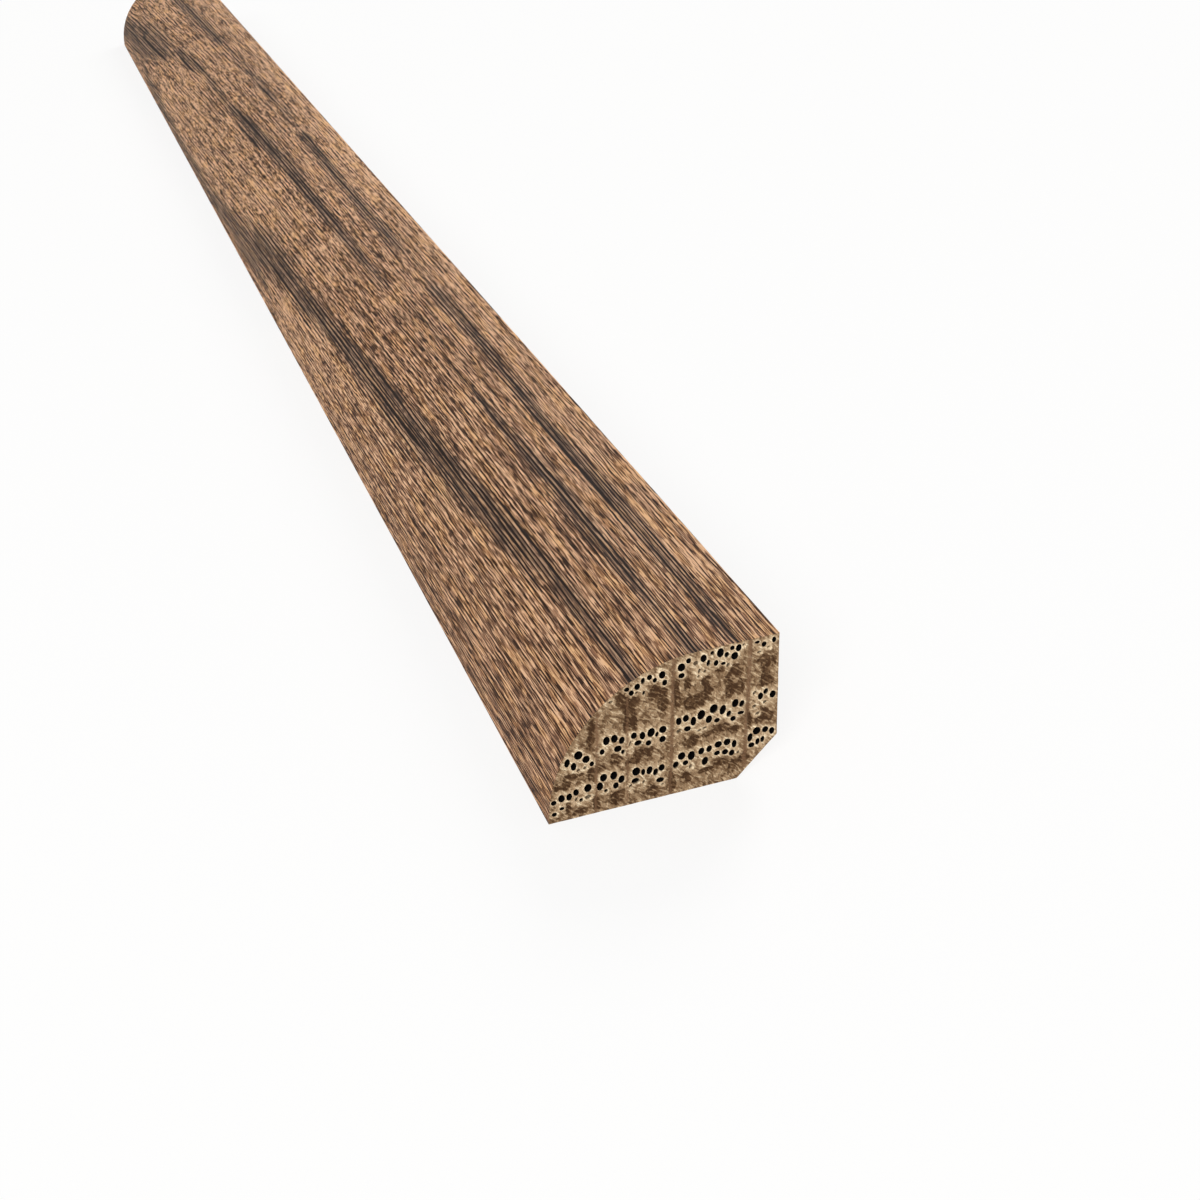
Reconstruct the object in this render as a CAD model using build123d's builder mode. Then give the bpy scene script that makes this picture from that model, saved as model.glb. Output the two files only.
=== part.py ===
# Shoe moulding: one length of solid oak, milled to a quarter-round face with a narrow flat on top.
# The stick lies on its wide base, with its moulded face to the front and its upright back behind.
# The corner where base and back meet is planed off at 45 degrees, so that both faces seat
# even where the joint between floor and skirting holds dried glue or filler.
# X runs along the grain, Y goes from the moulded front to the back, and Z is up.
# The origin is the middle of the rectangle that the stick covers on the floor.

import os

from build123d import *

INCH = 25.4

# Driving dimensions, in millimetres
length = 12 * INCH  # along the grain, between two square saw cuts
width = 0.75 * INCH  # front toe to back face
height = 0.5 * INCH  # base to top land
face_radius = 0.5 * INCH  # the quarter-round knife that cuts the moulded face
relief_leg = 3.4  # each leg of the planed-off corner between base and back

# Places in the section, worked out from the sizes
front_y = -width / 2
land_front_y = front_y + face_radius  # where the round runs out onto the flat top
toe_top = height - face_radius  # where the round starts, at floor level with this knife

# The section of the stick, drawn out both ways from the middle of its length
with BuildPart() as shoe_moulding:
    with BuildSketch(Plane.YZ):
        Rectangle(width, height, align=(Align.CENTER, Align.MIN))
        # The knife takes off all that lies outside its arc at the upper front corner
        with BuildLine():
            round_cut = CenterArc((land_front_y, toe_top), face_radius, 90, 90)
            Polyline(round_cut @ 0, (front_y, height), round_cut @ 1)
        make_face(mode=Mode.SUBTRACT)
        back_corners = vertices().sort_by(Axis.X)[-2:]
        lower_back_corner = back_corners.sort_by(Axis.Y)[0]
        chamfer(lower_back_corner, length=relief_leg)
    extrude(amount=length / 2, both=True)

shoe_moulding.part.label = "shoe_moulding"

os.makedirs("parts", exist_ok=True)
export_step(shoe_moulding.part, "parts/shoe_moulding.step")

section_area = shoe_moulding.part.volume / length
print(f"length {length:.2f} mm, section {width:.2f} x {height:.2f} mm, {section_area:.1f} square mm")
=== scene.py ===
import math
import random

import bmesh
import bpy
import numpy as np
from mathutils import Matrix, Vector, noise
from mathutils.geometry import delaunay_2d_cdt


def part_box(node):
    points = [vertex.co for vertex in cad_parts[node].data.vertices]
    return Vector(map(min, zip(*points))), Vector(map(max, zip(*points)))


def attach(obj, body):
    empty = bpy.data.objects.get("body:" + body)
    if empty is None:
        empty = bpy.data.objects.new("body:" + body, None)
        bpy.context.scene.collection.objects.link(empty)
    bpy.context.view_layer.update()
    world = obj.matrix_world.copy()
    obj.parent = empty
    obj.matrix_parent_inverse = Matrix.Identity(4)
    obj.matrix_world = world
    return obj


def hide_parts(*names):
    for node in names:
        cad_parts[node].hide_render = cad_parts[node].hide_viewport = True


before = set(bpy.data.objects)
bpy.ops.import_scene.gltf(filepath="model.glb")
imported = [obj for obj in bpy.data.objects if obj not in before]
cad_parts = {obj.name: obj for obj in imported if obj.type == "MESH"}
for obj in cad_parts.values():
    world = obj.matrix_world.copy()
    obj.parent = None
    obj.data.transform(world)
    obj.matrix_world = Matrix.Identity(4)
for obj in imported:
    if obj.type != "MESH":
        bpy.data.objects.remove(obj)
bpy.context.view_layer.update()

mm = 0.001  # patterns and listed points are in millimetres, meshes in metres
hair = 0.001 * mm  # two points closer than this are one point


def linearColour(hexText):
    channels = [int(hexText[i:i + 2], 16) / 255 for i in (1, 3, 5)]
    return [c / 12.92 if c <= 0.04045 else ((c + 0.055) / 1.055) ** 2.4 for c in channels] + [1.0]


def addNode(tree, kind, inputs=None, stops=(), **settings):
    # inputs are keyed by socket name or number: a plain value, a socket, or a node for its first output;
    # stops are the places and colours of a colour ramp
    node = tree.nodes.new(kind)
    node.location = (190 * (len(tree.nodes) % 12), -260 * (len(tree.nodes) // 12))
    for name, value in settings.items():
        setattr(node, name, value)
    for key, value in (inputs or {}).items():
        if isinstance(value, bpy.types.Node):
            value = value.outputs[0]
        if isinstance(value, bpy.types.NodeSocket):
            tree.links.new(value, node.inputs[key])
        else:
            node.inputs[key].default_value = value
    for number, (place, hexText) in enumerate(stops):
        marks = node.color_ramp.elements
        mark = marks[number] if number < len(marks) else marks.new(place)
        mark.position, mark.color = place, linearColour(hexText)
    return node


def addObject(name, data):
    made = bpy.data.objects.new(name, data)
    bpy.context.scene.collection.objects.link(made)
    return made


def emptyTree(owner):
    owner.use_nodes = True
    owner.node_tree.nodes.clear()
    return owner.node_tree


def startMaterial(name, finish):
    # an opaque wood with the finish's gloss and its place on the grain, still without a colour
    material = bpy.data.materials.new(name)
    tree = emptyTree(material)
    gloss = zip(("Roughness", "IOR", "Specular IOR Level"), finish["gloss"])
    surface = addNode(tree, "ShaderNodeBsdfPrincipled", dict(gloss))
    addNode(tree, "ShaderNodeOutputMaterial", {0: surface})
    return material, tree, surface, addNode(tree, "ShaderNodeUVMap", uv_map="grainMap")


def closeMaterial(tree, surface, colour, height, finish):
    # gives the wood its colour and its fine relief
    tree.links.new(colour, surface.inputs["Base Color"])
    relief = {"Strength": finish["bump"], "Distance": finish["relief"] * mm, "Height": height}
    bump = addNode(tree, "ShaderNodeBump", relief)
    tree.links.new(bump.outputs[0], surface.inputs["Normal"])


layerStep = (7.3, 3.1, 0)  # mm from one layer's pattern to the next one's
oneBand = 0.1 * math.pi  # the scale at which a wave node draws one band per unit


def layGrain(tree, where, finish):
    # each layer is a noise, or wavy lines, stretched to its length and width and cut off at low and high;
    # ridged noise draws thin lines. The shares add up to one level that picks the colour, and a layer with
    # a share of 0 is only a mark
    level, marks = finish["start"], {}
    for number, (name, (length, width, octaves, low, high, share)) in enumerate(finish["layers"].items()):
        turn = math.radians(finish.get("turns", {}).get(name, 0))
        stretch = {0: where, "Location": [step * number for step in layerStep], "Rotation": (0, 0, turn),
                   "Scale": (length, width, 1)}
        flat = addNode(tree, "ShaderNodeMapping", stretch, vector_type="TEXTURE")
        if name in finish["waves"]:
            lines = {"Scale": oneBand, "Detail": octaves, **finish["waviness"]}
            wave = addNode(tree, "ShaderNodeTexWave", {"Vector": flat, **lines}, bands_direction="Y")
            pattern = wave.outputs["Fac"]
        else:
            kind = "RIDGED_MULTIFRACTAL" if name in finish["ridged"] else "FBM"
            cloud = {"Vector": flat, "Scale": 1.0, "Detail": octaves, 6: 1.0}  # 6 is the ridges' offset
            pattern = addNode(tree, "ShaderNodeTexNoise", cloud, noise_dimensions="2D", noise_type=kind)
        marks[name] = addNode(tree, "ShaderNodeMapRange", {0: pattern, 1: low, 2: high})
        level = addNode(tree, "ShaderNodeMath", {0: marks[name], 1: share, 2: level},
                        operation="MULTIPLY_ADD")
    return level, marks


def startTree(name, sizes):
    # an empty geometry tree with one named input for every entry of sizes
    tree = bpy.data.node_groups.new(name, "GeometryNodeTree")
    kinds = {float: "NodeSocketFloat", int: "NodeSocketInt", bpy.types.Material: "NodeSocketMaterial"}
    for way in ("INPUT", "OUTPUT"):
        tree.interface.new_socket("Geometry", in_out=way, socket_type="NodeSocketGeometry")
    for label, value in sizes.items():
        tree.interface.new_socket(label, in_out="INPUT", socket_type=kinds[type(value)])
    return tree, addNode(tree, "NodeGroupInput").outputs


def closeTree(tree, shape, material):
    real = addNode(tree, "GeometryNodeRealizeInstances", {0: shape})
    wooden = addNode(tree, "GeometryNodeSetMaterial", {0: real, "Material": material})
    addNode(tree, "NodeGroupOutput", {0: wooden})
    return tree


def runTree(seedMesh, tree, sizes):
    # sets the inputs by identifier, then keeps the result as a plain mesh
    carrier = addObject(tree.name, seedMesh)
    modifier = carrier.modifiers.new(tree.name, "NODES")
    modifier.node_group = tree
    for item in tree.interface.items_tree:
        if item.in_out == "INPUT" and item.name in sizes:
            modifier[item.identifier] = sizes[item.name]
    graph = bpy.context.evaluated_depsgraph_get()
    finished = carrier.evaluated_get(graph)
    made = bpy.data.meshes.new_from_object(finished, preserve_all_data_layers=True, depsgraph=graph)
    bpy.data.objects.remove(carrier)
    return made


def readFloats(mesh, name, width=1):
    field = "value" if width == 1 else "vector"
    values = np.empty(len(mesh.attributes[name].data) * width, np.float32)
    mesh.attributes[name].data.foreach_get(field, values)
    return values if width == 1 else values.reshape(-1, width)


def writeFloats(mesh, **columns):
    # one number for each point of the mesh, in every named column
    for name, values in columns.items():
        attribute = mesh.attributes.new(name, "FLOAT", "POINT")
        attribute.data.foreach_set("value", np.asarray(values, np.float32))


def readPoints(mesh):
    points = np.empty(len(mesh.vertices) * 3, np.float32)
    mesh.vertices.foreach_get("co", points)
    return points.reshape(-1, 3)


def readFaces(mesh):
    # the corners of each face, as point numbers
    corners = np.empty(len(mesh.loops), np.int32)
    mesh.loops.foreach_get("vertex_index", corners)
    starts = [f.loop_start for f in mesh.polygons] + [len(corners)]
    corners = corners.tolist()
    return [corners[a:b] for a, b in zip(starts, starts[1:])]


# The section, read off the CAD solid
stickNode = "shoe_moulding"
low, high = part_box(stickNode)
cadPoints = [v.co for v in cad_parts[stickNode].data.vertices]
landFront = min(p.y for p in cadPoints if high.z - p.z < hair)  # where the round meets the flat top
reliefTop = min(p.z for p in cadPoints if high.y - p.y < hair)  # where the back meets the planed-off corner
faceRadius = landFront - low.y
reliefLeg = reliefTop - low.z
stickLength = high.x - low.x

stick = {
    "linePitch": 0.20,  # mm between mesh lines on the stained faces, about half a brush furrow
    "planedPitch": 0.62,  # mm between mesh lines on the planed faces
    "lengthSteps": 396,  # mesh rows along the stick
    "easeIn": 0.4,  # mm from the edges over which the relief fades in
    "endShare": 0.4,  # share of the relief that is left right at the saw cuts
    "endPitch": 0.19,  # mm between points of the sawn ends
    "endRoughness": 0.22,  # mm at most that torn fibres lie below the saw cut
    "crease": 30, "mouthCrease": 52,  # degrees past which an edge is crisp on the planed faces and the ends
}


def sectionRing():
    # (y, z, girth) once round the section: up the round, over the flat top, down the back, under to the toe
    arcSteps = round(faceRadius * math.pi / 2 / (stick["linePitch"] * mm))
    ring = []
    for i in range(arcSteps):
        turn = math.pi / 2 * i / arcSteps
        y = landFront - faceRadius * math.cos(turn)
        z = high.z - faceRadius * (1 - math.sin(turn))
        ring.append((y, z, faceRadius * turn))
    corners = [Vector((landFront, high.z)), Vector((high.y, high.z)), Vector((high.y, reliefTop)),
               Vector((high.y - reliefLeg, low.z)), Vector((low.y, low.z))]
    starts = [0.0, faceRadius * math.pi / 2]
    for number, (a, b) in enumerate(zip(corners, corners[1:])):
        run = (b - a).length
        pitch = stick["linePitch"] if number == 0 else stick["planedPitch"]
        steps = round(run / (pitch * mm))
        for i in range(steps):
            point = a.lerp(b, i / steps)
            ring.append((point.x, point.y, starts[-1] + run * i / steps))
        starts.append(starts[-1] + run)
    return ring, [s / mm for s in starts]


ring, faceStarts = sectionRing()
stainedGirth, totalGirth = faceStarts[2], faceStarts[5]

# The stain: wiped on and off again, so it stays dark in the open grain
stain = {
    "gloss": (0.7, 1.5, 0.1),  # matt lacquer over oak: roughness, index of refraction, specular level
    "bump": 1.0, "relief": 0.06,  # strength, mm
    "start": -0.16,  # the level without any layer
    # mm along, mm across, octaves, low, high, share; the finest flecks are drawn coarser than single fibres,
    # so that they show in a render
    "layers": {
        "fleck": (1.8, 0.12, 0, 0.48, 0.52, 0.58),
        "chip": (8.0, 0.22, 0, 0.47, 0.53, 0.45),
        "fibre": (36.0, 0.34, 1, 0.25, 0.75, 0.43),
        "figure": (36, 1.2, 1, 0.34, 0.66, 0.12),
        "tone": (70, 5, 1, 0.34, 0.66, 0.08),
        "gap": (18.0, 0.18, 0, 0.80, 0.92, -0.34),
        "vessel": (6.0, 0.12, 0, 0.62, 0.66, -0.28),
        "line": (36, 0.34, 1, 0.40, 0.95, 0.0),
        "patch": (6, 0.9, 2, 0.46, 0.64, 0.0),
    },
    "ridged": ("gap",), "waves": ("fibre", "line"), "waviness": {"Distortion": 7.0, "Detail Scale": 2.0},
    "colours": [(0.0, "#332218"), (0.2, "#5d412f"), (0.4, "#86614a"), (0.55, "#9b7357"),
                (0.75, "#b88b6b"), (1.0, "#e2b690")],
    "warm": "#c6b176", "warmth": 0.36,  # some patches are yellower
    "toeSlope": 0.045, "topSlope": 0.008,  # how steeply the fibres run down, at the toe and on the flat top
    "streakSpread": 1.25, "streakLimit": 0.97,  # times wider than placed; the strongest a streak may be
    "clumpLength": 7.0, "clumpWidth": 0.9, "clumping": 0.45,  # mm, mm, and how far streaks break up
    "streakGround": "#68574c", "greyFrom": 0.1, "greyTo": 0.8, "greyShare": 0.55,  # a streak is greyed
    "streakLine": "#241a15", "inkFrom": 0.92, "inkTo": 1.08,  # and has dark lines where it is strong
    "inkDepth": 0.7, "chipBreak": -0.2,  # which lie deep and are broken up by the chips
    "furrowShade": -0.10,  # the furrows keep a little more stain
    "leftContrast": 1.32,  # the left end is brushed harder, and its grain stands out by this much more
}


def wireBrushedStainedOak():
    # oak brushed open along the grain, brown stain wiped off the ridges, matt lacquer:
    # fine broken lines, tan on the ridges and nearly black in the open vessels
    material, tree, surface, where = startMaterial("wireBrushedStainedOak", stain)
    level, marks = layGrain(tree, where, stain)
    own = {name: addNode(tree, "ShaderNodeAttribute", attribute_name=name).outputs["Fac"]
           for name in ("furrow", "streak", "tone")}
    for name, share in (("tone", 1.0), ("furrow", stain["furrowShade"])):
        level = addNode(tree, "ShaderNodeMath", {0: own[name], 1: share, 2: level}, operation="MULTIPLY_ADD")
    # the grain stands out more and more towards the left end
    along = addNode(tree, "ShaderNodeSeparateXYZ", {0: where})
    half = stickLength / mm / 2
    leftwards = {0: along, 1: half, 2: -half, 3: 1.0, 4: stain["leftContrast"]}
    contrast = addNode(tree, "ShaderNodeMapRange", leftwards)
    offMiddle = addNode(tree, "ShaderNodeMath", {0: level, 1: 0.5}, operation="SUBTRACT")
    level = addNode(tree, "ShaderNodeMath", {0: offMiddle, 1: contrast, 2: 0.5},
                    operation="MULTIPLY_ADD", use_clamp=True)
    grain = addNode(tree, "ShaderNodeValToRGB", {0: level}, stain["colours"])
    warmth = addNode(tree, "ShaderNodeMath", {0: marks["patch"], 1: stain["warmth"]}, operation="MULTIPLY")
    warmed = addNode(tree, "ShaderNodeMix", {0: warmth, 6: grain, 7: linearColour(stain["warm"])},
                     data_type="RGBA", blend_type="SOFT_LIGHT")
    greying = {0: own["streak"], 1: stain["greyFrom"], 2: stain["greyTo"], 4: stain["greyShare"]}
    grey = {0: addNode(tree, "ShaderNodeMapRange", greying), 6: warmed.outputs[2],
            7: linearColour(stain["streakGround"])}
    greyed = addNode(tree, "ShaderNodeMix", grey, data_type="RGBA")
    reach = addNode(tree, "ShaderNodeMath", {0: own["streak"], 1: marks["line"]}, operation="ADD")
    broken = addNode(tree, "ShaderNodeMath", {0: marks["chip"], 1: stain["chipBreak"], 2: reach},
                     operation="MULTIPLY_ADD")
    inked = addNode(tree, "ShaderNodeMapRange", {0: broken, 1: stain["inkFrom"], 2: stain["inkTo"], 4: 1.0})
    ink = linearColour(stain["streakLine"])
    colour = addNode(tree, "ShaderNodeMix", {0: inked, 6: greyed.outputs[2], 7: ink}, data_type="RGBA")
    height = addNode(tree, "ShaderNodeMath", {0: inked, 1: -stain["inkDepth"], 2: level},
                     operation="MULTIPLY_ADD")
    closeMaterial(tree, surface, colour.outputs[2], height, stain)
    return material


planed = {
    "gloss": (0.85, 1.5, 0.3),
    "bump": 0.6, "relief": 0.05,  # strength, mm
    "start": 0.05,
    "layers": {  # mm along, mm across, octaves, low, high, share
        "fleck": (2.6, 0.22, 1, 0.36, 0.64, 0.22),
        "fibre": (9.0, 0.45, 2, 0.36, 0.64, 0.30),
        "tone": (60, 5, 2, 0.34, 0.66, 0.38),
        "vessel": (3.0, 0.24, 1, 0.58, 0.66, -0.45),
        "wipe": (4.0, 0.6, 2, 0.2, 0.8, 0.0),
    },
    "ridged": (), "waves": (),
    "colours": [(0.0, "#7d5f42"), (0.25, "#a38360"), (0.55, "#bd9d76"), (1.0, "#d3b68f")],
    # stain run over the edges: mm at most, mm in from its rim where it starts and is full, share it covers
    "spill": "#6b4d39", "spillReach": 0.9, "spillFrom": -0.1, "spillFull": 0.5, "spillShare": 0.85,
}


def planedRawOak():
    # bare oak straight off the planer: pale, dry, with short open vessels, and stain run over its edges
    material, tree, surface, where = startMaterial("planedRawOak", planed)
    level, marks = layGrain(tree, where, planed)
    grain = addNode(tree, "ShaderNodeValToRGB", {0: level}, planed["colours"])
    fromEdge = addNode(tree, "ShaderNodeAttribute", attribute_name="fromEdge").outputs["Fac"]
    reach = addNode(tree, "ShaderNodeMath", {0: marks["wipe"], 1: planed["spillReach"]},
                    operation="MULTIPLY")
    past = addNode(tree, "ShaderNodeMath", {0: reach, 1: fromEdge}, operation="SUBTRACT")
    cover = {0: past, 1: planed["spillFrom"], 2: planed["spillFull"], 4: planed["spillShare"]}
    wiped = addNode(tree, "ShaderNodeMapRange", cover)
    spill = linearColour(planed["spill"])
    colour = addNode(tree, "ShaderNodeMix", {0: wiped, 6: grain, 7: spill}, data_type="RGBA")
    closeMaterial(tree, surface, colour.outputs[2], level, planed)
    return material


sawn = {
    "gloss": (0.9, 1.5, 0.1),
    "bump": 1.0, "relief": 0.12, "crumbHeight": 0.4,  # strength, mm, and how far the crumbs stand out
    "start": 0.31,
    "layers": {  # mm front to back, mm up, octaves, low, high, share
        "flake": (0.6, 1.0, 2, 0.38, 0.62, 0.10),
        "crumb": (0.22, 0.32, 1, 0.40, 0.60, 0.07),
        "tuft": (0.8, 0.22, 1, 0.48, 0.58, 0.09),
        "curl": (0.55, 0.17, 0, 0.60, 0.65, 0.28),
        # painted shadow: thin dark lines along the edges of the torn flakes
        "flakeShadow": (1.1, 0.7, 3, 0.86, 0.98, -0.18),
    },
    "ridged": ("flakeShadow",), "waves": (),
    "turns": {"tuft": -52, "curl": -40, "flakeShadow": -48},  # degrees: the saw pulled the fibres down towards the back, and the painted flake shadows lie along them
    "rimShine": 0.40,  # the walls of the pores are paler
    "tornFlakes": 0.3, "tornFrom": 0.48, "tornTo": 0.68, "tornShade": -0.36,  # torn hollows are darker
    "colours": [(0.0, "#46301e"), (0.2, "#6a5037"), (0.42, "#967a5c"), (0.62, "#b99d7c"),
                (0.82, "#d2b896"), (1.0, "#f2dcb9")],
    # painted over the level in turn: from, to, most, colour
    # the rays' own colour, then painted shade that darkens down into the pores, near black deep inside
    "marks": {"ray": (0.2, 0.8, 0.8, "#7a5c43"), "pitShade": (0.41, 0.5, 1.0, "#070403")},
}


def sawnOakEndGrain():
    # saw cut across the grain: tan fibres torn out in brown hollows, smooth brown rays, open spring pores
    # with pale walls, and painted shade that turns near black deep inside them
    material, tree, surface, where = startMaterial("sawnOakEndGrain", sawn)
    level, marks = layGrain(tree, where, sawn)
    own = {name: addNode(tree, "ShaderNodeAttribute", attribute_name=name).outputs["Fac"]
           for name in ("ray", "rim", "torn", "pitShade")}
    level = addNode(tree, "ShaderNodeMath", {0: own["rim"], 1: sawn["rimShine"], 2: level},
                    operation="MULTIPLY_ADD")
    ragged = addNode(tree, "ShaderNodeMath", {0: marks["flake"], 1: sawn["tornFlakes"], 2: own["torn"]},
                     operation="MULTIPLY_ADD")
    tornOut = addNode(tree, "ShaderNodeMapRange", {0: ragged, 1: sawn["tornFrom"], 2: sawn["tornTo"]})
    level = addNode(tree, "ShaderNodeMath", {0: tornOut, 1: sawn["tornShade"], 2: level},
                    operation="MULTIPLY_ADD", use_clamp=True)
    last = addNode(tree, "ShaderNodeValToRGB", {0: level}, sawn["colours"]).outputs[0]
    for name, (low, high, most, hexText) in sawn["marks"].items():
        share = addNode(tree, "ShaderNodeMapRange", {0: own[name], 1: low, 2: high, 4: most})
        paint = linearColour(hexText)
        last = addNode(tree, "ShaderNodeMix", {0: share, 6: last, 7: paint}, data_type="RGBA").outputs[2]
    height = addNode(tree, "ShaderNodeMath", {0: marks["crumb"], 1: sawn["crumbHeight"], 2: level},
                     operation="MULTIPLY_ADD")
    closeMaterial(tree, surface, last, height, sawn)
    return material


woods = [wireBrushedStainedOak(), planedRawOak(), sawnOakEndGrain()]
stainedOak, planedOak, endGrainOak = woods
print("woods:", ", ".join(wood.name for wood in woods))

# Dark streaks of the figure, placed on the unrolled face:
# mm from the right end, mm of girth from the toe, half width in mm, strength
streaks = [
    [(0, 22.9, 0.4, 0.6), (8, 22.7, 0.5, 0.8), (27, 22.5, 0.7, 1), (46, 22.1, 0.5, 0.8),
     (60, 22.2, 0.6, 0.7), (83, 22, 0.8, 0.8), (92, 21.8, 0.3, 0)],
    [(96, 21.9, 0.3, 0), (103, 21.6, 0.7, 0.8), (130, 21.2, 0.8, 0.7), (158, 21.4, 0.7, 0.6),
     (168, 21.2, 0.3, 0.2)],
    [(170, 21.3, 0.5, 0.5), (204, 20.9, 0.7, 0.6), (232, 20.4, 0.5, 0.3)],
    [(228, 20.2, 0.5, 0), (236, 19.8, 0.8, 0.7), (262, 18.9, 1.1, 0.8), (280, 18, 1, 0.8),
     (305, 16.8, 0.9, 0.6)],
    [(0, 19.4, 0.6, 0.9), (9, 19, 0.4, 0.6), (14, 18.9, 0.6, 0.8), (30, 18.6, 0.8, 0.85),
     (44, 18.1, 0.5, 0.6), (60, 17.6, 0.4, 0.3), (75, 17.3, 0.3, 0)],
    [(84, 17.1, 0.3, 0), (95, 16.9, 0.6, 0.7), (113, 16.5, 0.7, 0.8), (135, 16.1, 0.9, 0.85),
     (150, 16, 1, 1), (165, 15.2, 1, 1), (176, 14.7, 0.8, 0.9), (190, 14.2, 0.5, 0.6), (215, 13.8, 0.5, 0.6),
     (225, 13.2, 0.9, 0.9), (240, 12, 0.9, 0.8), (248, 11.4, 0.6, 0.3)],
    [(240, 10.6, 0.7, 0.2), (252, 9.6, 1.7, 0.9), (266, 7.8, 2.8, 1), (282, 6, 2.8, 1), (296, 4.8, 2.2, 0.9),
     (305, 4.2, 1.8, 0.8)],
    [(0, 14.4, 0.5, 0.8), (15, 13.9, 0.6, 0.8), (26, 13.1, 0.7, 0.85), (40, 12.3, 0.7, 0.7),
     (52, 11.7, 0.5, 0.4), (60, 11.4, 0.3, 0)],
    [(14, 12.5, 0.3, 0), (30, 11.9, 0.6, 0.85), (48, 10.9, 1.3, 1), (67, 9.8, 1.1, 0.9), (86, 8.8, 0.8, 0.9),
     (100, 7.9, 1.2, 0.9), (116, 7.2, 1.5, 0.9), (128, 6, 1.9, 1), (138, 4.2, 1.9, 0.95),
     (150, 2.8, 1.4, 0.8), (178, 1.4, 1, 0.8), (215, 1, 1, 0.8), (250, 1.4, 1.3, 0.8), (262, 2.4, 1, 0.5),
     (275, 3, 0.8, 0)],
    [(116, 2.6, 0.3, 0), (124, 3, 0.7, 0.7), (134, 2.8, 1, 0.8), (146, 1.6, 0.9, 0.6), (156, 1, 0.5, 0)],
]
# Soft lighter and darker areas: mm from the right end, girth, half length, half width, amount
shades = [
    # the first, a lighter band the whole length of the flat top, is partly the wood's tone and partly
    # painted light on the top
    (150, 25.2, 500, 2, 0.2), (110, 19.2, 40, 1.4, 0.06), (270, 14, 40, 2.5, 0.04),
    (140, 11.5, 40, 2.5, 0.05), (60, 13.5, 40, 3.5, -0.07), (98, 3.5, 28, 3.5, 0.12), (205, 5.5, 40, 4, 0.1),
    (15, 1.5, 45, 4, -0.1),
]


def grainRun(fromEnd, girth):
    # the fibres run down towards the toe, most of all in the lower part of the round
    return girth + fromEnd * np.interp(girth, [0, stainedGirth], [stain["toeSlope"], stain["topSlope"]])


def streakStrength(fromEnd, girth):
    strength = np.zeros(len(girth))
    for path in streaks:
        x, centre, halfWidth, level = np.array(path).T
        away = (girth - np.interp(fromEnd, x, centre)) / np.interp(fromEnd, x, halfWidth)
        across = np.exp(-(away / stain["streakSpread"]) ** 2)
        strength = np.maximum(strength, np.interp(fromEnd, x, level, 0, 0) * across)
    places = np.column_stack([fromEnd / stain["clumpLength"], girth / stain["clumpWidth"], 0 * girth])
    clumps = np.array([noise.noise(Vector(place)) for place in places.tolist()])
    return np.minimum(strength * (1 + stain["clumping"] * clumps), stain["streakLimit"])


def shadeAmount(fromEnd, girth):
    return sum(amount * np.exp(-((fromEnd - x) / halfLength) ** 2 - ((girth - g) / halfWidth) ** 2)
               for x, g, halfLength, halfWidth, amount in shades)


sweepSizes = {"length": stickLength, "lengthSteps": stick["lengthSteps"], "columns": len(ring),
              "girth": totalGirth, "material": stainedOak}


def sweepTree():
    # bends a flat grid round the section; its columns are the section's points, its rows run along the grain
    tree, asked = startTree("sweepSection", sweepSizes)
    rows, lines = (addNode(tree, "ShaderNodeMath", {0: asked[steps], 1: 1.0}, operation="ADD")
                   for steps in ("lengthSteps", "columns"))
    grid = addNode(tree, "GeometryNodeMeshGrid",
                   {"Size X": asked["length"], "Size Y": 1.0, "Vertices X": rows, "Vertices Y": lines})
    index = addNode(tree, "GeometryNodeInputIndex")
    column = addNode(tree, "ShaderNodeMath", {0: index, 1: lines}, operation="FLOORED_MODULO")
    ringIndex = addNode(tree, "ShaderNodeMath", {0: column, 1: asked["columns"]}, operation="FLOORED_MODULO")
    place = addNode(tree, "GeometryNodeInputPosition")
    ringPlace = addNode(tree, "GeometryNodeSampleIndex", {0: asked["Geometry"], 1: place, 2: ringIndex},
                        data_type="FLOAT_VECTOR")
    stored = addNode(tree, "GeometryNodeInputNamedAttribute", {"Name": "girth"})
    ringGirth = addNode(tree, "GeometryNodeSampleIndex", {0: asked["Geometry"], 1: stored, 2: ringIndex})
    lastLine = addNode(tree, "FunctionNodeCompare", {0: column, 1: asked["columns"]}, operation="EQUAL")
    girth = addNode(tree, "ShaderNodeMath", {0: lastLine, 1: asked["girth"], 2: ringGirth},
                    operation="MULTIPLY_ADD")
    along = addNode(tree, "ShaderNodeSeparateXYZ", {0: place})
    across = addNode(tree, "ShaderNodeSeparateXYZ", {0: ringPlace})
    bent = addNode(tree, "ShaderNodeCombineXYZ",
                   {0: along.outputs[0], 1: across.outputs[1], 2: across.outputs[2]})
    marked = addNode(tree, "GeometryNodeStoreNamedAttribute", {0: grid, "Name": "girth", "Value": girth})
    wrapped = addNode(tree, "GeometryNodeSetPosition", {0: marked, "Position": bent})
    alongMm = addNode(tree, "ShaderNodeMath", {0: along.outputs[0], 1: mm}, operation="DIVIDE")
    flatMap = addNode(tree, "ShaderNodeCombineXYZ", {0: alongMm, 1: stored})
    mapped = addNode(tree, "GeometryNodeStoreNamedAttribute",
                     {0: wrapped, "Name": "flatMap", "Value": flatMap}, data_type="FLOAT2", domain="CORNER")
    restarted = addNode(tree, "GeometryNodeStoreNamedAttribute",
                        {0: mapped, "Name": "girth", "Value": ringGirth})
    closed = addNode(tree, "GeometryNodeMergeByDistance", {0: restarted, "Distance": hair})
    return closeTree(tree, closed, asked["material"])


ringMesh = bpy.data.meshes.new("sectionRing")
ringEdges = [(i, (i + 1) % len(ring)) for i in range(len(ring))]
ringMesh.from_pydata([(0, y, z) for y, z, girth in ring], ringEdges, [])
writeFloats(ringMesh, girth=[girth / mm for y, z, girth in ring])

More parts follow.
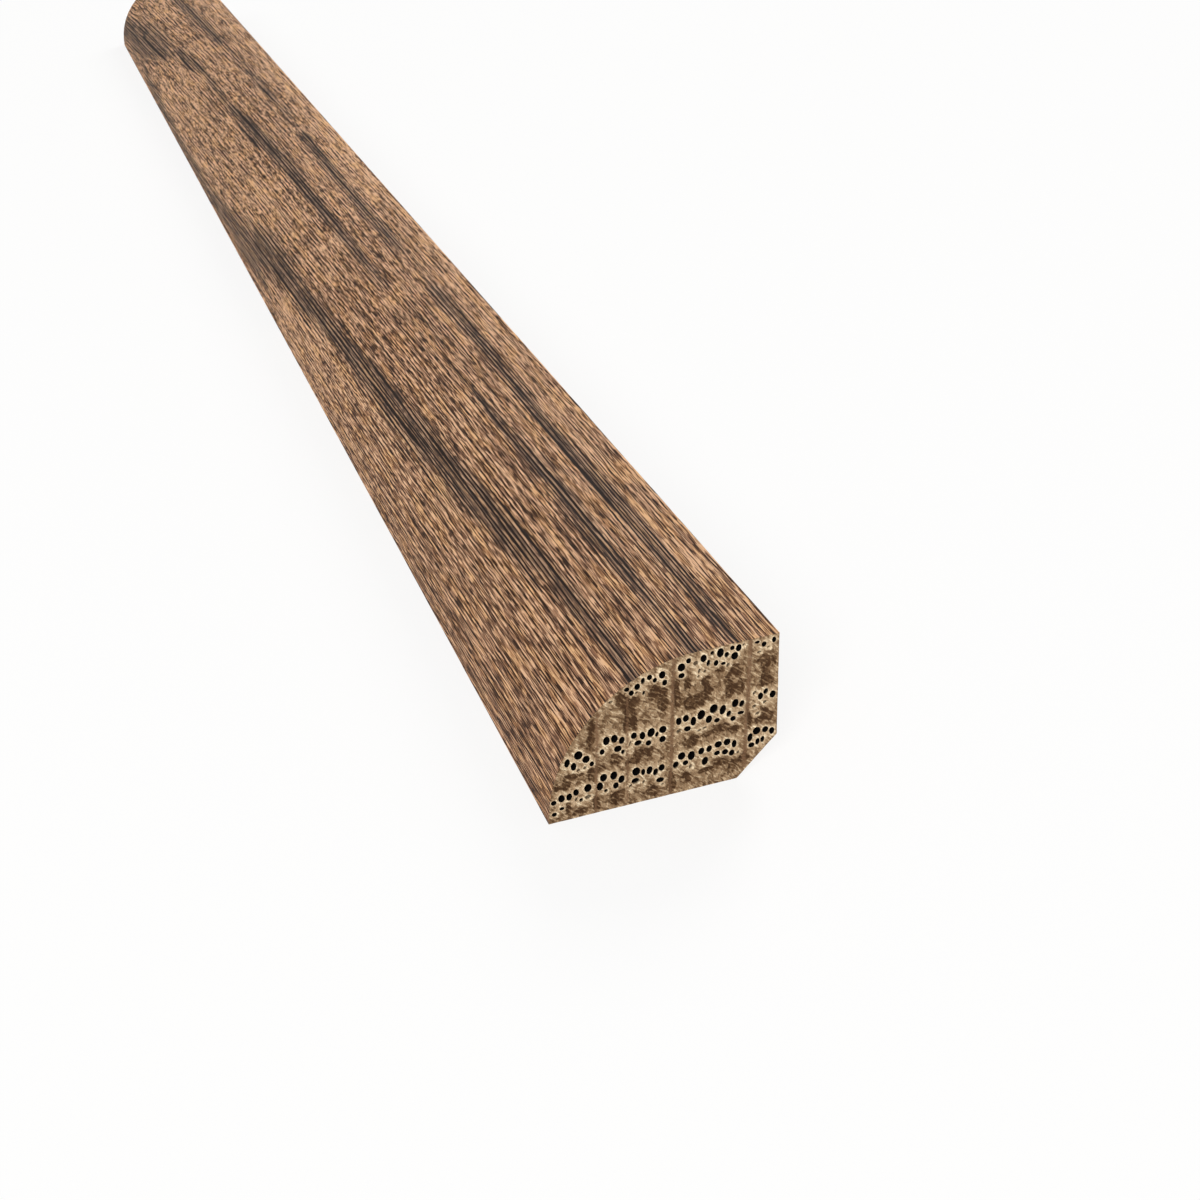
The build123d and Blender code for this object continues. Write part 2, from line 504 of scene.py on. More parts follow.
brushSizes = {
    "fibreLength": 6.5, "fibreWidth": 0.42, "fibreDepth": 0.05 * mm,  # furrows left by the wires
    "vesselLength": 9.0, "vesselWidth": 0.5, "vesselDepth": 0.10 * mm,  # soft spring wood, dug out deeper
    "swellLength": 80.0, "swellWidth": 4.0, "swellDepth": 0.10 * mm,  # hard summer wood stands proud
    "fibreFrom": 0.35, "fibreTo": 0.65, "vesselFrom": 0.5, "vesselTo": 0.66,  # noise, from flat to deepest
    "streakDigging": 0.65, "plainDigging": 0.35,  # the dark streaks are softer, so more is dug out there
    "furrowShare": 0.5,  # of a furrow's darkness beside that of an open vessel
    "planedDepth": 0.02 * mm,
    "seed": 3.7,
    "stainedGirth": stainedGirth, "stained": stainedOak, "planed": planedOak,
}


def brushTree():
    # moves each point of the faces inwards by what the wire brush or the planer takes there
    tree, asked = startTree("brushGrain", brushSizes)
    own = {name: addNode(tree, "GeometryNodeInputNamedAttribute", {"Name": name})
           for name in ("grainRun", "streak", "brushed")}
    place = addNode(tree, "ShaderNodeSeparateXYZ", {0: addNode(tree, "GeometryNodeInputPosition")})
    along = addNode(tree, "ShaderNodeMath", {0: place, 1: mm}, operation="DIVIDE")
    marks = {}
    for kind, detail in (("fibre", 2.0), ("vessel", 1.0), ("swell", 1.0)):
        lengthwise, crosswise = (
            addNode(tree, "ShaderNodeMath", {0: value, 1: asked[kind + size]}, operation="DIVIDE")
            for value, size in ((along, "Length"), (own["grainRun"], "Width")))
        flat = addNode(tree, "ShaderNodeCombineXYZ", {0: lengthwise, 1: crosswise, 2: asked["seed"]})
        marks[kind] = addNode(tree, "ShaderNodeTexNoise", {"Vector": flat, "Scale": 1.0, "Detail": detail})
    furrow, openPore = (
        addNode(tree, "ShaderNodeMapRange", {0: marks[kind], 1: asked[kind + "From"], 2: asked[kind + "To"]})
        for kind in ("fibre", "vessel"))
    digging = addNode(tree, "ShaderNodeMath",
                      {0: own["streak"], 1: asked["streakDigging"], 2: asked["plainDigging"]},
                      operation="MULTIPLY_ADD")
    dugOut = addNode(tree, "ShaderNodeMath", {0: openPore, 1: digging}, operation="MULTIPLY")
    deepest = addNode(tree, "ShaderNodeMath", {0: furrow, 1: asked["fibreDepth"]}, operation="MULTIPLY")
    for mark, size in ((dugOut, "vesselDepth"), (marks["swell"], "swellDepth")):
        deepest = addNode(tree, "ShaderNodeMath", {0: mark, 1: asked[size], 2: deepest},
                          operation="MULTIPLY_ADD")
    planedCut = addNode(tree, "ShaderNodeMath", {0: furrow, 1: asked["planedDepth"]}, operation="MULTIPLY")
    depth = addNode(tree, "ShaderNodeMix", {0: own["brushed"], 2: planedCut, 3: deepest})
    inwards = addNode(tree, "ShaderNodeMath", {0: depth, 1: -1.0}, operation="MULTIPLY")
    push = addNode(tree, "ShaderNodeVectorMath", {0: addNode(tree, "GeometryNodeInputNormal"), 3: inwards},
                   operation="SCALE")
    level = addNode(tree, "ShaderNodeMath", {0: furrow, 1: asked["furrowShare"], 2: dugOut},
                    operation="MULTIPLY_ADD")
    marked = addNode(tree, "GeometryNodeStoreNamedAttribute",
                     {0: asked["Geometry"], "Name": "furrow", "Value": level})
    pushed = addNode(tree, "GeometryNodeSetPosition", {0: marked, "Offset": push})
    real = addNode(tree, "GeometryNodeRealizeInstances", {0: pushed})
    allStained = addNode(tree, "GeometryNodeSetMaterial", {0: real, "Material": asked["stained"]})
    flatMap = addNode(tree, "GeometryNodeInputNamedAttribute", {"Name": "flatMap"}, data_type="FLOAT_VECTOR")
    faceGirth = addNode(tree, "ShaderNodeSeparateXYZ", {0: flatMap}).outputs[1]
    bare = addNode(tree, "ShaderNodeMath", {0: faceGirth, 1: asked["stainedGirth"]},
                   operation="GREATER_THAN")
    both = addNode(tree, "GeometryNodeSetMaterial",
                   {0: allStained, "Selection": bare, "Material": asked["planed"]})
    addNode(tree, "NodeGroupOutput", {0: both})
    return tree


sweptMesh = runTree(ringMesh, sweepTree(), sweepSizes)
girth = readFloats(sweptMesh, "girth")
fromEnd = (high.x - readPoints(sweptMesh)[:, 0]) / mm
edgeEase = np.minimum(girth, stainedGirth - girth) / stick["easeIn"]
endEase = stick["endShare"] + np.minimum(fromEnd, stickLength / mm - fromEnd)
fromEdge = np.minimum(girth - stainedGirth, totalGirth - girth)
writeFloats(sweptMesh, streak=streakStrength(fromEnd, girth), tone=shadeAmount(fromEnd, girth),
            grainRun=grainRun(fromEnd, girth), brushed=np.clip(np.minimum(edgeEase, endEase), 0, 1),
            fromEdge=np.where(girth > stainedGirth, fromEdge, 0))
sideMesh = runTree(sweptMesh, brushTree(), brushSizes)
print("long faces:", len(sideMesh.polygons))

sawnEnd = {
    # y at the base, lean, half width
    "rays": [(3.85, 0.045, 0.11), (6.42, 0.03, 0.07), (10, 0.035, 0.16), (16.25, 0.035, 0.17)],
    "raySoft": 1.5,  # half widths out where a ray ends
    "sides": 12,
    "poreEdge": 0.10,  # mm at least between a pore and the section's edge
    "edge": 0.15,  # mm inside the section's edge that the brush may reach, so no loose point lies there
    "wall": 0.02,  # mm at least between two pores
    "swell": 1.26,  # from a pore's size as placed to its outer rim
    "shrinks": (1, 0.9, 0.8, 0.7, 0.6),  # sizes tried in turn
    "leastRoom": 0.1, "leastGap": 1.02,  # mm to the edge, and half widths to the next pore
    "openDepth": (0.9, 1.6), "fullDepth": (0.12, 0.2),  # mm; the full ones get a brown painted shade, the open ones a black one
    # painted shade at a pore's mouth and floor, black from 0.5 up; about one open pore in four has a pale
    # mouth
    "openLipShades": (0.42, 0.5, 0.5, 0.5), "fullLipShade": 0.1, "openFloorShade": 1.0, "fullFloorShade": 0.48,
    "clearance": 0.06, "rimReach": 0.32,  # mm round a pore that are free of points, and that are paler
    "rowStep": 0.866, "moreRows": 1.2, "astray": 0.2,  # a triangular grid, its points a little out of line
    "shift": 0.06,  # mm at most that a pore has moved away from its ring at the far end
    # how fast a torn place ends, what it and its ragged noise count, mm of the noise, share left at a rim
    "tornFade": 0.6, "tornShare": 0.95, "raggedShare": 0.45, "raggedWidth": 0.7, "raggedHeight": 1.1,
    "tornAtPore": 0.2,
}
# Spring pores of three growth rings: y, z, half width, half height
openPores = [
    (0.49, 1.9, 0.22, 0.28), (1.13, 2.15, 0.23, 0.3), (1.75, 2.13, 0.2, 0.28), (2.31, 2.41, 0.2, 0.26),
    (3.27, 2.55, 0.26, 0.32), (0.49, 0.81, 0.18, 0.17), (1.12, 1.21, 0.17, 0.13), (2.7, 1.57, 0.14, 0.16),
    (4.24, 2.43, 0.22, 0.33), (4.56, 3.17, 0.25, 0.3), (5.39, 3.13, 0.24, 0.33), (6, 2.62, 0.22, 0.3),
    (5.53, 2.15, 0.2, 0.25), (4.72, 1.88, 0.14, 0.14), (7.22, 3, 0.28, 0.33), (7.79, 2.8, 0.18, 0.32),
    (8.31, 2.82, 0.21, 0.32), (8.82, 2.5, 0.21, 0.33), (9.32, 2.8, 0.24, 0.3), (7.15, 2.13, 0.29, 0.24),
    (9.17, 1.67, 0.28, 0.2), (10.98, 3.43, 0.27, 0.3), (11.79, 3.25, 0.26, 0.36), (12.63, 3.45, 0.22, 0.27),
    (13.29, 3.5, 0.2, 0.26), (14.05, 3.7, 0.27, 0.26), (14.8, 3.73, 0.25, 0.27), (15.4, 3.4, 0.18, 0.3),
    (10.5, 2.71, 0.22, 0.28), (11.3, 2.7, 0.2, 0.2), (12.93, 2.43, 0.23, 0.33), (13.95, 2.9, 0.22, 0.18),
    (14.63, 2.83, 0.23, 0.22), (15.2, 2.6, 0.2, 0.24), (16.75, 3.63, 0.19, 0.33), (17.3, 4.12, 0.28, 0.3),
    (18.03, 4.07, 0.23, 0.24), (18.6, 3.8, 0.2, 0.3), (16.87, 2.88, 0.23, 0.2), (17.39, 3.09, 0.16, 0.26),
    (17.81, 3.2, 0.16, 0.27), (1.71, 5.3, 0.19, 0.33), (2.62, 5.78, 0.29, 0.33), (2.21, 4.85, 0.19, 0.31),
    (3.22, 5.25, 0.26, 0.28), (3.66, 4.71, 0.16, 0.2), (4.89, 6.5, 0.23, 0.33), (5.53, 6.52, 0.26, 0.35),
    (6.12, 6.22, 0.2, 0.28), (4.52, 5.58, 0.17, 0.22), (5.78, 5.53, 0.27, 0.25), (6.19, 5.12, 0.17, 0.24),
    (7.1, 6.38, 0.21, 0.25), (7.79, 6.2, 0.2, 0.3), (8.5, 6.3, 0.26, 0.35), (8.97, 6.03, 0.13, 0.22),
    (9.46, 6.33, 0.26, 0.28), (7.43, 5.61, 0.27, 0.22), (8.27, 5.4, 0.2, 0.22), (9.42, 5.45, 0.23, 0.25),
    (10.77, 6.73, 0.2, 0.3), (11.35, 6.85, 0.22, 0.27), (11.97, 6.43, 0.2, 0.35), (12.62, 6.85, 0.27, 0.37),
    (13.67, 7.12, 0.3, 0.36), (14.41, 6.85, 0.22, 0.37), (13.26, 6.27, 0.23, 0.3), (13.93, 6, 0.2, 0.18),
    (14.93, 6.35, 0.18, 0.25), (15.45, 7.2, 0.24, 0.32), (16.02, 7, 0.22, 0.3), (11.47, 5.86, 0.25, 0.2),
    (15.28, 5.81, 0.2, 0.2), (15.93, 6.19, 0.24, 0.14), (17.57, 7.3, 0.19, 0.27), (18.02, 7.63, 0.2, 0.27),
    (18.6, 7.23, 0.22, 0.32), (6.62, 10.68, 0.18, 0.16), (6.98, 10.28, 0.17, 0.21), (7.46, 10.72, 0.2, 0.24),
    (7.93, 11.1, 0.15, 0.26), (8.45, 11.3, 0.18, 0.2), (8.87, 10.95, 0.15, 0.18), (9.47, 11.28, 0.23, 0.28),
    (7.97, 10.03, 0.1, 0.17), (9.66, 10.55, 0.18, 0.23), (11.02, 11.55, 0.26, 0.3), (11.6, 11.99, 0.17, 0.2),
    (11.02, 10.81, 0.22, 0.2), (13.53, 12.2, 0.15, 0.17), (14.18, 12.08, 0.24, 0.35),
    (13.21, 11.4, 0.14, 0.25), (13.83, 11.25, 0.17, 0.22), (14.71, 11.77, 0.17, 0.22),
    (15.15, 12.28, 0.16, 0.17), (15.68, 12.16, 0.2, 0.27), (15.35, 11.52, 0.25, 0.28),
    (14.42, 11.07, 0.17, 0.12), (12.81, 11.91, 0.22, 0.28), (17.2, 12.28, 0.18, 0.11),
    (17.77, 11.98, 0.18, 0.2), (18.6, 12.2, 0.15, 0.22),
]
# Shallow ones, still full of torn wood or cut through a wall
fullPores = [
    (2.33, 1.7, 0.13, 0.2), (3.29, 1.67, 0.25, 0.2), (7.83, 1.8, 0.12, 0.18), (6.75, 1.72, 0.14, 0.2),
    (9.4, 1.18, 0.14, 0.1), (11.75, 2.2, 0.14, 0.2), (15.75, 2.47, 0.13, 0.15), (2.6, 4.35, 0.15, 0.15),
    (3.12, 4.45, 0.15, 0.15), (6.78, 5.67, 0.09, 0.28), (10.8, 5.77, 0.2, 0.2), (12.48, 5.4, 0.18, 0.13),
    (12.95, 5.52, 0.18, 0.14), (17.1, 7.67, 0.17, 0.2), (17.09, 6.43, 0.18, 0.17), (18, 6.63, 0.18, 0.17),
    (17.37, 5.73, 0.18, 0.15), (7.42, 10.17, 0.12, 0.12), (12.2, 11.6, 0.2, 0.2), (14.85, 10.8, 0.15, 0.2),
    (12.49, 10.83, 0.12, 0.2), (12.93, 10.7, 0.12, 0.15), (12.43, 10.36, 0.12, 0.12),
    (16.12, 12.28, 0.14, 0.16), (18.2, 11.6, 0.15, 0.13), (17.43, 11.33, 0.2, 0.12),
    (5.35, 9.85, 0.18, 0.15),
]
# Places where the saw tore the wood out: y, z, half width, half height
tornPlaces = [
    (6.9, 8.6, 0.5, 1.9), (6.1, 9.9, 0.4, 0.6), (3.8, 8.1, 0.35, 1.1), (3.6, 6.9, 0.3, 0.5),
    (9.2, 9.9, 0.6, 0.7), (9.6, 9, 0.4, 0.8), (10.7, 9.3, 0.25, 1.4), (13.1, 9.3, 0.4, 1),
    (12.1, 8, 0.6, 0.7), (14.5, 10.5, 0.7, 0.2), (15.4, 10, 0.6, 0.6), (15.2, 8.6, 0.4, 0.9),
    (15.8, 8.6, 0.3, 0.7), (18.2, 10.3, 0.6, 0.7), (18.2, 8.8, 0.5, 0.9), (11.6, 9.7, 0.3, 0.4),
    (11.8, 4.6, 0.6, 0.5), (13, 4.8, 0.4, 0.25), (14.3, 5.1, 0.6, 0.35), (15.4, 4.8, 0.5, 0.3),
    (7.9, 4.5, 0.8, 0.4), (6.9, 4, 0.4, 0.3), (5.5, 4.7, 0.5, 0.4), (3.6, 3.6, 0.3, 0.7),
    (1.2, 3.1, 0.6, 0.35), (2.5, 3.9, 0.7, 0.2), (0.7, 3.4, 0.3, 0.3), (4.3, 3.9, 0.3, 0.4),
    (14.4, 1.9, 0.7, 0.3), (15.3, 1.3, 0.3, 0.6), (11.3, 1.4, 0.6, 0.4), (13.2, 1.5, 0.6, 0.2),
    (5.6, 0.9, 0.5, 0.8), (4, 0.7, 0.2, 0.6), (8.4, 0.7, 0.5, 0.4), (2.6, 0.4, 0.4, 0.4), (1.7, 1, 0.2, 0.5),
    (18, 5.3, 0.6, 0.6), (16.7, 5.2, 0.2, 0.9), (10.2, 1, 0.2, 1), (16.3, 1.9, 0.3, 0.4),
    (0.8, 0.2, 0.5, 0.2),
]


def depthInside(y, z):
    # mm from the nearest edge of the section, above 0 inside; y runs from the front toe, z from the base
    width, height = (high.y - low.y) / mm, (high.z - low.z) / mm
    radius, leg = faceRadius / mm, reliefLeg / mm
    fromRound = np.where(y < radius, radius - np.hypot(radius - y, z - (height - radius)), 99.0)
    return np.minimum.reduce([z, width - y, height - z, fromRound, (z - y + width - leg) / math.sqrt(2)])


def rayStrength(y, z):
    across = [np.clip(sawnEnd["raySoft"] - abs(y - base - lean * z) / half, 0, 1)
              for base, lean, half in sawnEnd["rays"]]
    return np.max(across, axis=0)


def tornDepth(y, z, seed, drift):
    # 0 to 1: how far the saw tore the fibres out, in tall ragged patches between the rows
    depth = np.zeros(len(y))
    for a, b, halfWidth, halfHeight in tornPlaces:
        far = ((y - a - drift) / halfWidth) ** 2 + ((z - b - drift) / halfHeight) ** 2
        depth = np.maximum(depth, np.exp(-sawnEnd["tornFade"] * far))
    places = [Vector((a / sawnEnd["raggedWidth"], b / sawnEnd["raggedHeight"], seed)) for a, b in zip(y, z)]
    ragged = np.array([noise.fractal(place, 1.0, 2.0, 3) for place in places])
    return np.clip(sawnEnd["tornShare"] * depth + sawnEnd["raggedShare"] * ragged, 0, 1)


def placePores(seed, drift):
    # the listed pores, moved with the rings; one that would cut an edge or another pore is made smaller
    # until it fits, or else left out
    draw = random.Random(seed)
    shift = sawnEnd["shift"] if drift else 0
    wall = sawnEnd["wall"]
    pores = []
    for full, places in ((False, openPores), (True, fullPores)):
        for y, z, *size in places:
            y += draw.uniform(-shift, shift)
            z += drift + draw.uniform(-shift, shift)
            room = float(depthInside(y, z)) - sawnEnd["poreEdge"]
            for shrink in sawnEnd["shrinks"]:
                width, height = (min(half * sawnEnd["swell"] * shrink, room) for half in size)
                gaps = [math.hypot((y - p[0]) / (width + p[2] + wall), (z - p[1]) / (height + p[3] + wall))
                        for p in pores]
                if room > sawnEnd["leastRoom"] and min(gaps, default=2) > sawnEnd["leastGap"]:
                    pores.append((y, z, width, height, full))
                    break
    return pores


poreSizes = {
    "facing": 1.0, "sides": sawnEnd["sides"],
    "mouth": 0.95, "taper": 0.85,  # of the rim, of the mouth
    "leanLeft": -0.25, "leanRight": 0.1,  # radians
    "play": 0.02 * mm, "waver": 4000.0,  # bends of the rims per metre
    "seed": 5, "material": endGrainOak,
}


def poreTree():
    # stands a rim, a wall and a floor on each point of the end, sized by the point's own width and height
    tree, asked = startTree("sunkPores", poreSizes)
    own = {name: addNode(tree, "GeometryNodeInputNamedAttribute", {"Name": name})
           for name in ("halfWidth", "halfHeight", "depth", "lip", "floor")}
    disc = addNode(tree, "GeometryNodeMeshCircle", {"Vertices": asked["sides"], "Radius": 1.0},
                   fill_type="NGON")
    quarterTurn = addNode(tree, "ShaderNodeMath", {0: asked["facing"], 1: math.pi / 2}, operation="MULTIPLY")
    facing = addNode(tree, "ShaderNodeCombineXYZ", {1: quarterTurn})
    upright = addNode(tree, "GeometryNodeTransform", {0: disc, "Rotation": facing})
    oval = addNode(tree, "ShaderNodeCombineXYZ", {0: 1.0, 1: own["halfWidth"], 2: own["halfHeight"]})
    lean = addNode(tree, "FunctionNodeRandomValue",
                   {2: asked["leanLeft"], 3: asked["leanRight"], "Seed": asked["seed"]})
    leaning = addNode(tree, "ShaderNodeCombineXYZ", {0: lean.outputs[1]})
    turned = addNode(tree, "FunctionNodeEulerToRotation", {0: leaning})
    copies = addNode(tree, "GeometryNodeInstanceOnPoints",
                     {"Points": asked["Geometry"], "Instance": upright, "Rotation": turned, "Scale": oval})
    real = addNode(tree, "GeometryNodeRealizeInstances", {0: copies})
    place = addNode(tree, "GeometryNodeInputPosition")
    wander = addNode(tree, "ShaderNodeTexNoise", {"Vector": place, "Scale": asked["waver"], "Detail": 0.0})
    centred = addNode(tree, "ShaderNodeVectorMath", {0: wander.outputs["Color"], 1: (0.5, 0.5, 0.5)},
                      operation="SUBTRACT")
    sideways = addNode(tree, "ShaderNodeCombineXYZ", {1: asked["play"], 2: asked["play"]})
    nudge = addNode(tree, "ShaderNodeVectorMath", {0: centred, 1: sideways}, operation="MULTIPLY")
    rims = addNode(tree, "GeometryNodeSetPosition", {0: real, "Offset": nudge})
    inwards = addNode(tree, "ShaderNodeMath", {0: own["depth"], 1: asked["facing"]}, operation="MULTIPLY")
    backwards = addNode(tree, "ShaderNodeMath", {0: inwards, 1: -1.0}, operation="MULTIPLY")
    sink = addNode(tree, "ShaderNodeCombineXYZ", {0: backwards})
    # a narrower mouth in the plane of the rim, then a floor at the pore's own depth, each storing its
    # painted shade
    last, top = rims, True
    for sunk, narrowing, dark in ((0.0, "mouth", "lip"), (1.0, "taper", "floor")):
        pushed = addNode(tree, "GeometryNodeExtrudeMesh",
                         {0: last, "Selection": top, "Offset": sink, "Offset Scale": sunk})
        top = pushed.outputs["Top"]
        narrowed = addNode(tree, "GeometryNodeScaleElements",
                           {0: pushed, "Selection": top, "Scale": asked[narrowing]})
        last = addNode(tree, "GeometryNodeStoreNamedAttribute",
                       {0: narrowed, "Selection": top, "Name": "pitShade", "Value": own[dark]})
    return closeTree(tree, last, asked["material"])


def makePits(plane, facing, seed, drift):
    # the pores of one end, as the mesh of their rims, walls and floors
    pores = placePores(seed, drift)
    draw = random.Random(seed)
    points = bpy.data.meshes.new("poreCentres")
    points.from_pydata([(plane, low.y + y * mm, low.z + z * mm) for y, z, *size in pores], [], [])
    depths = [draw.uniform(*sawnEnd["fullDepth" if p[4] else "openDepth"]) for p in pores]
    # painted shade at each pore's mouth and floor
    lips = [sawnEnd["fullLipShade"] if p[4] else draw.choice(sawnEnd["openLipShades"]) for p in pores]
    writeFloats(points, halfWidth=[p[2] * mm for p in pores], halfHeight=[p[3] * mm for p in pores],
                depth=[depth * mm for depth in depths], lip=lips,
                floor=[sawnEnd["fullFloorShade" if p[4] else "openFloorShade"] for p in pores])
    return pores, runTree(points, poreTree(), {**poreSizes, "facing": facing, "seed": seed})


def insidePolygon(point, polygon):
    after = np.roll(polygon, -1, axis=0)
    straddles = (polygon[:, 1] > point[1]) != (after[:, 1] > point[1])
    with np.errstate(divide="ignore", invalid="ignore"):
        slope = (after[:, 0] - polygon[:, 0]) / (after[:, 1] - polygon[:, 1])
        crossing = polygon[:, 0] + (point[1] - polygon[:, 1]) * slope
    return bool(np.sum(straddles & (crossing > point[0])) % 2)


def closeEnd(plane, facing, seed, drift):
    # triangles from the side's last ring to the pore rims, over loose points that carry the torn fibres;
    # drift is how far the rings have moved up by this end
    pores, pits = makePits(plane, facing, seed, drift)
    sidePoints = readPoints(sideMesh)
    rim = np.flatnonzero(np.abs(sidePoints[:, 0] - plane) < hair)
    rim = rim[np.argsort(readFloats(sideMesh, "girth")[rim])]
    sides = sawnEnd["sides"]
    rims = len(pores) * sides  # the pits' first points are their outer rims, pore by pore
    flat = np.vstack([sidePoints[rim], readPoints(pits)[:rims]])[:, 1:]
    poreLoops = [list(range(first, first + sides)) for first in range(len(rim), len(rim) + rims, sides)]
    loops = [list(range(len(rim)))] + poreLoops
    edges = [(a, b) for loop in loops for a, b in zip(loop, loop[1:] + loop[:1])]

    draw = np.random.default_rng(seed)
    pitch = stick["endPitch"] * mm
    rowCount = (high.z - low.z) / pitch * sawnEnd["moreRows"]
    rows, columns = np.mgrid[0:rowCount, 0:(high.y - low.y) / pitch + 1]
    across = low.y + (columns + rows % 2 / 2) * pitch
    loose = np.stack([across, low.z + rows * pitch * sawnEnd["rowStep"]], -1).reshape(-1, 2)
    loose += draw.uniform(-sawnEnd["astray"], sawnEnd["astray"], loose.shape) * pitch
    y, z = (loose - [low.y, low.z]).T / mm
    keep = depthInside(y, z) > sawnEnd["edge"]
    nearPore = np.zeros(len(y))  # 1 at a rim, 0 out of its reach
    for a, b, width, height, full in pores:
        away = (np.hypot((y - a) / width, (z - b) / height) - 1) * width
        keep &= away > sawnEnd["clearance"]
        nearPore = np.maximum(nearPore, np.clip(1 - away / sawnEnd["rimReach"], 0, 1))
    flat = np.vstack([flat, loose[keep]]) / mm

    corners = [Vector(place) for place in flat.tolist()]
    points, _, triangles, origins, _, _ = delaunay_2d_cdt(corners, edges, [], 0, 1e-6)
    origin = np.array([o[0] if o else -1 for o in origins])
    if (origin < 0).any():
        raise ValueError("two pores cross, or a pore crosses the edge of the section")
    triangles = origin[np.array(triangles)]
    owner = np.full(len(flat), -1)
    for number, loop in enumerate(loops):
        owner[loop] = number
    sameLoop = (owner[triangles] == owner[triangles[:, :1]]).all(1) & (owner[triangles[:, 0]] >= 0)
    keptTriangles = []
    for triangle, suspect in zip(triangles.tolist(), sameLoop):
        if suspect:
            number = owner[triangle[0]]
            inLoop = insidePolygon(flat[triangle].mean(0), flat[loops[number]])
            if inLoop != (number == 0):
                continue
        keptTriangles.append(triangle if facing > 0 else triangle[::-1])
    return pores, pits, rim, loose[keep], nearPore[keep], keptTriangles


# One closed mesh: the long faces, then the pores and the sawn face of each end
zones = {"moulded": 0, "planed": 1, "rightEnd": 2, "leftEnd": 3}
ends = {"rightEnd": (high.x, 1.0, 5, 0.0), "leftEnd": (low.x, -1.0, 8, -0.5)}  # x, facing, seed, mm of drift
blocks = [readPoints(sideMesh)]
faces = readFaces(sideMesh)
sideWoods = [woods.index(wood) if wood else None for wood in sideMesh.materials]
zone = [sideWoods[face.material_index] for face in sideMesh.polygons]
marks = {name: [readFloats(sideMesh, name)] for name in ("streak", "tone", "furrow", "fromEdge")}
marks.update({name: [np.zeros(len(blocks[0]))] for name in ("pitShade", "rim", "torn")})
for name, (plane, facing, seed, drift) in ends.items():
    pores, pits, rim, loose, nearPore, triangles = closeEnd(plane, facing, seed, drift)
    first = sum(len(block) for block in blocks)
    y, z = (loose - [low.y, low.z]).T / mm
    torn = tornDepth(y, z, seed, drift) * np.clip(depthInside(y, z) / stick["easeIn"], 0, 1)
    torn *= 1 - (1 - sawnEnd["tornAtPore"]) * nearPore
    sawnX = plane - facing * torn * stick["endRoughness"] * mm
    blocks += [readPoints(pits), np.column_stack([sawnX, loose])]
    # the pores' painted shade, from their pale or dark mouths to their dark floors
    added = {"pitShade": (readFloats(pits, "pitShade"), 0), "rim": (1, nearPore), "torn": (0, torn)}
    for mark in marks:
        for block, value in zip(blocks[-2:], added.get(mark, (0, 0))):
            marks[mark].append(np.zeros(len(block)) + value)
    rims = len(pores) * sawnEnd["sides"]
    number = np.concatenate([rim, first + np.arange(rims), first + len(blocks[-2]) + np.arange(len(loose))])
    endFaces = [[first + corner for corner in face] for face in readFaces(pits)]
    endFaces += number[np.array(triangles)].tolist()
    faces += endFaces
    zone += [zones[name]] * len(endFaces)
    print(name, "has", len(pores), "pores and", len(endFaces), "faces")

points = np.vstack(blocks)
stickMesh = bpy.data.meshes.new("oakStick")
stickMesh.from_pydata(points.tolist(), [], faces)
y, z = (points[:, 1:] - [low.y, low.z]).T / mm
writeFloats(stickMesh, ray=rayStrength(y, z), **{name: np.concatenate(marks[name]) for name in marks})

# Two maps: millimetres along and across the grain for the patterns, and one square for baking
zone = np.array(zone)
cornerZone = np.repeat(zone, [len(face) for face in faces])
cornerPoint = np.concatenate([np.array(face) for face in faces])
grainMap = np.column_stack([y[cornerPoint], z[cornerPoint]])
sideMap = readFloats(sideMesh, "flatMap", 2)
grainMap[:len(sideMap)] = sideMap
bakeMap = np.empty_like(grainMap)
alongShare = 0.5 + grainMap[:, 0] * mm / stickLength
stripLength = 0.984  # of the square's side; the ends' pictures are 0.26 high
endScale = 0.26 / ((high.z - low.z) / mm)
places = {  # left edge, lower edge, and what a millimetre of girth or of the end takes
    "moulded": (0.008, 0.535, 0.455 / stainedGirth),
    "planed": (0.008, 0.285, 0.235 / (totalGirth - stainedGirth)),
    "rightEnd": (0.01, 0.01, endScale), "leftEnd": (0.42, 0.01, endScale),
}
for name, (left, bottom, scale) in places.items():
    here = cornerZone == zones[name]
    if zones[name] < 2:
        firstGirth = 0 if name == "moulded" else stainedGirth
        up = bottom + scale * (grainMap[here, 1] - firstGirth)
        bakeMap[here] = np.column_stack([left + stripLength * alongShare[here], up])
    else:
        bakeMap[here] = [left, bottom] + grainMap[here] * scale
onLong = cornerZone < 2
fromEnd = high.x / mm - grainMap[onLong, 0]
grainMap[onLong, 1] = grainRun(fromEnd, grainMap[onLong, 1])
for name, values in (("grainMap", grainMap), ("OFBake", bakeMap)):
    stickMesh.uv_layers.new(name=name).data.foreach_set("uv", values.astype(np.float32).ravel())

# Crisp edges between the faces and at the pore mouths, smooth furrows
creases = {zones["moulded"]: math.pi, zones["planed"]: math.radians(stick["crease"])}
mouthCrease = math.radians(stick["mouthCrease"])
bm = bmesh.new()
bm.from_mesh(stickMesh)
for face in bm.faces:
    face.smooth = True
    face.material_index = min(int(zone[face.index]), 2)
for edge in bm.edges:
    a, b = edge.link_faces
    turn = a.normal.angle(b.normal, 0)
    limit = creases.get(int(zone[a.index]), mouthCrease)
    edge.smooth = bool(zone[a.index] == zone[b.index] and turn < limit)
bm.to_mesh(stickMesh)
bm.free()

oakStick = addObject("oakStick", stickMesh)
for material in woods:
    stickMesh.materials.append(material)
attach(oakStick, "root")
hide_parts(stickNode)
print("oak stick:", len(stickMesh.vertices), "points")

